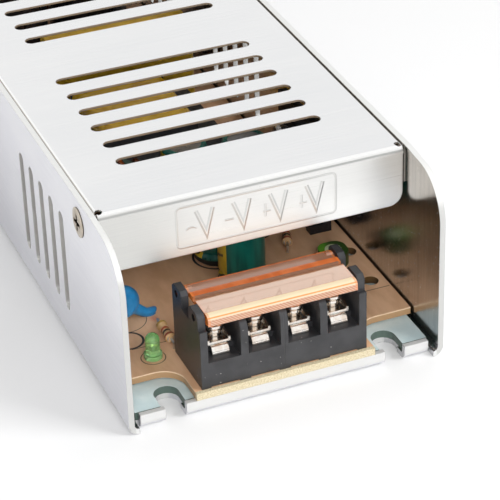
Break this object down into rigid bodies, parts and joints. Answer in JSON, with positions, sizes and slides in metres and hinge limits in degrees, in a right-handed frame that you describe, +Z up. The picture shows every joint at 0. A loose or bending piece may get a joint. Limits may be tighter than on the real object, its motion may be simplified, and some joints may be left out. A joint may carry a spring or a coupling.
{
  "type": "led power supply",
  "caption": "Slim fanless power supply for lamps: vented folded aluminium case, open ends with screw terminal blocks under clear orange flip covers, board and power parts inside.",
  "frame": {"origin": "on the table under the middle of the case", "axes": "+X across the case, +Y along the case from the output end to the input end, +Z up"},
  "size_m": [0.0688, 0.227, 0.041],
  "materials": {
    "satin_aluminium": "satin rolled sheet",
    "brushed_aluminium": "fine brushed sheet",
    "black_anodised": "black anodised",
    "zinc_steel": "zinc plated",
    "insulation": "smooth insulating sheet",
    "phenolic_board": "pressed paper board",
    "black_plastic": "moulded satin black",
    "nickel_brass": "bright nickel plate",
    "orange_plastic": "clear orange",
    "green_lens": "tinted epoxy",
    "blue_coating": "dipped epoxy",
    "green_sleeve": "shrunk sleeve",
    "green_plastic": "moulded green",
    "white_plastic": "moulded white",
    "resistor_coat": "dipped tan with colour bands",
    "ferrite": "ground ferrite",
    "copper_wire": "enamelled wire",
    "yellow_tape": "wrapped film tape",
    "yellow_plastic": "moulded yellow case",
    "black_sleeve": "shrunk sleeve",
    "ceramic": "glazed tube with plated caps",
    "dark_coating": "dipped coating"
  },
  "bodies": {
    "case": {"chassis": "satin_aluminium", "top_cover": "brushed_aluminium", "cover_screws": "zinc_steel", "insulation_pad": "insulation", "board_spacers": "zinc_steel", "circuit_board": "phenolic_board", "board_screws": "zinc_steel", "output_terminal_block": "black_plastic", "output_contacts": "nickel_brass", "input_terminal_block": "black_plastic", "input_contacts": "nickel_brass", "power_lamp": "green_lens", "disc_capacitor": "blue_coating", "output_capacitors": "green_sleeve", "adjuster_body": "green_plastic", "axial_resistors": "resistor_coat", "output_choke_ring": "ferrite", "output_choke_winding": "copper_wire", "transformer_core": "ferrite", "transformer_bobbin": "black_plastic", "transformer_winding": "yellow_tape", "output_spreader": "black_anodised", "output_rectifiers": "black_plastic", "rectifier_screws": "zinc_steel", "primary_spreader": "black_anodised", "power_transistors": "black_plastic", "transistor_screws": "zinc_steel", "box_capacitor": "yellow_plastic", "control_chip": "black_plastic", "driver_transformer": "yellow_tape", "bulk_capacitors": "black_sleeve", "bridge_rectifier": "black_plastic", "line_choke_ring": "ferrite", "line_choke_winding": "copper_wire", "inrush_thermistor": "dark_coating", "varistor": "blue_coating", "fuse": "ceramic"},
    "output_flip_cover": {"output_flip_cover": "orange_plastic"},
    "input_flip_cover": {"input_flip_cover": "orange_plastic"},
    "adjuster_rotor": {"adjuster_rotor": "white_plastic"},
    "output_clamp_1": {"output_clamp_1": "nickel_brass"},
    "output_screw_1": {"output_screw_1": "nickel_brass"},
    "output_clamp_2": {"output_clamp_2": "nickel_brass"},
    "output_screw_2": {"output_screw_2": "nickel_brass"},
    "output_clamp_3": {"output_clamp_3": "nickel_brass"},
    "output_screw_3": {"output_screw_3": "nickel_brass"},
    "output_clamp_4": {"output_clamp_4": "nickel_brass"},
    "output_screw_4": {"output_screw_4": "nickel_brass"},
    "input_clamp_1": {"input_clamp_1": "nickel_brass"},
    "input_screw_1": {"input_screw_1": "nickel_brass"},
    "input_clamp_2": {"input_clamp_2": "nickel_brass"},
    "input_screw_2": {"input_screw_2": "nickel_brass"},
    "input_clamp_3": {"input_clamp_3": "nickel_brass"},
    "input_screw_3": {"input_screw_3": "nickel_brass"}
  },
  "joints": [
    {"name": "output_flip_hinge", "type": "hinge", "parent": "case", "child": "output_flip_cover", "pos_m": [0, -0.0988, 0.0201], "axis": [-1, 0, 0], "range_deg": [0, 80]},
    {"name": "input_flip_hinge", "type": "hinge", "parent": "case", "child": "input_flip_cover", "pos_m": [0, 0.0988, 0.0201], "axis": [1, 0, 0], "range_deg": [0, 80]},
    {"name": "adjuster_turn", "type": "hinge", "parent": "case", "child": "adjuster_rotor", "pos_m": [0.0252, -0.0786, 0.0081], "axis": [0, 0, 1], "range_deg": [-120, 120]},
    {"name": "output_clamp_lift_1", "type": "slide", "parent": "case", "child": "output_clamp_1", "axis": [0, 0, 1], "range_m": [0, 0.0021]},
    {"name": "output_screw_turn_1", "type": "hinge", "parent": "output_clamp_1", "child": "output_screw_1", "pos_m": [-0.01275, -0.1054, 0.0139], "axis": [0, 0, 1], "range_deg": [0, 1081]},
    {"name": "output_clamp_lift_2", "type": "slide", "parent": "case", "child": "output_clamp_2", "axis": [0, 0, 1], "range_m": [0, 0.0021]},
    {"name": "output_screw_turn_2", "type": "hinge", "parent": "output_clamp_2", "child": "output_screw_2", "pos_m": [-0.00425, -0.1054, 0.0139], "axis": [0, 0, 1], "range_deg": [0, 1081]},
    {"name": "output_clamp_lift_3", "type": "slide", "parent": "case", "child": "output_clamp_3", "axis": [0, 0, 1], "range_m": [0, 0.0021]},
    {"name": "output_screw_turn_3", "type": "hinge", "parent": "output_clamp_3", "child": "output_screw_3", "pos_m": [0.00425, -0.1054, 0.0139], "axis": [0, 0, 1], "range_deg": [0, 1081]},
    {"name": "output_clamp_lift_4", "type": "slide", "parent": "case", "child": "output_clamp_4", "axis": [0, 0, 1], "range_m": [0, 0.0021]},
    {"name": "output_screw_turn_4", "type": "hinge", "parent": "output_clamp_4", "child": "output_screw_4", "pos_m": [0.01275, -0.1054, 0.0139], "axis": [0, 0, 1], "range_deg": [0, 1081]},
    {"name": "input_clamp_lift_1", "type": "slide", "parent": "case", "child": "input_clamp_1", "axis": [0, 0, 1], "range_m": [0, 0.0021]},
    {"name": "input_screw_turn_1", "type": "hinge", "parent": "input_clamp_1", "child": "input_screw_1", "pos_m": [0.0085, 0.1054, 0.0139], "axis": [0, 0, 1], "range_deg": [0, 1081]},
    {"name": "input_clamp_lift_2", "type": "slide", "parent": "case", "child": "input_clamp_2", "axis": [0, 0, 1], "range_m": [0, 0.0021]},
    {"name": "input_screw_turn_2", "type": "hinge", "parent": "input_clamp_2", "child": "input_screw_2", "pos_m": [0, 0.1054, 0.0139], "axis": [0, 0, 1], "range_deg": [0, 1081]},
    {"name": "input_clamp_lift_3", "type": "slide", "parent": "case", "child": "input_clamp_3", "axis": [0, 0, 1], "range_m": [0, 0.0021]},
    {"name": "input_screw_turn_3", "type": "hinge", "parent": "input_clamp_3", "child": "input_screw_3", "pos_m": [-0.0085, 0.1054, 0.0139], "axis": [0, 0, 1], "range_deg": [0, 1081]}
  ],
  "couplings": [
    {"joint": "output_screw_turn_1", "follows": "output_clamp_lift_1", "rad_per_m": 8976},
    {"joint": "output_screw_turn_2", "follows": "output_clamp_lift_2", "rad_per_m": 8976},
    {"joint": "output_screw_turn_3", "follows": "output_clamp_lift_3", "rad_per_m": 8976},
    {"joint": "output_screw_turn_4", "follows": "output_clamp_lift_4", "rad_per_m": 8976},
    {"joint": "input_screw_turn_1", "follows": "input_clamp_lift_1", "rad_per_m": 8976},
    {"joint": "input_screw_turn_2", "follows": "input_clamp_lift_2", "rad_per_m": 8976},
    {"joint": "input_screw_turn_3", "follows": "input_clamp_lift_3", "rad_per_m": 8976}
  ]
}
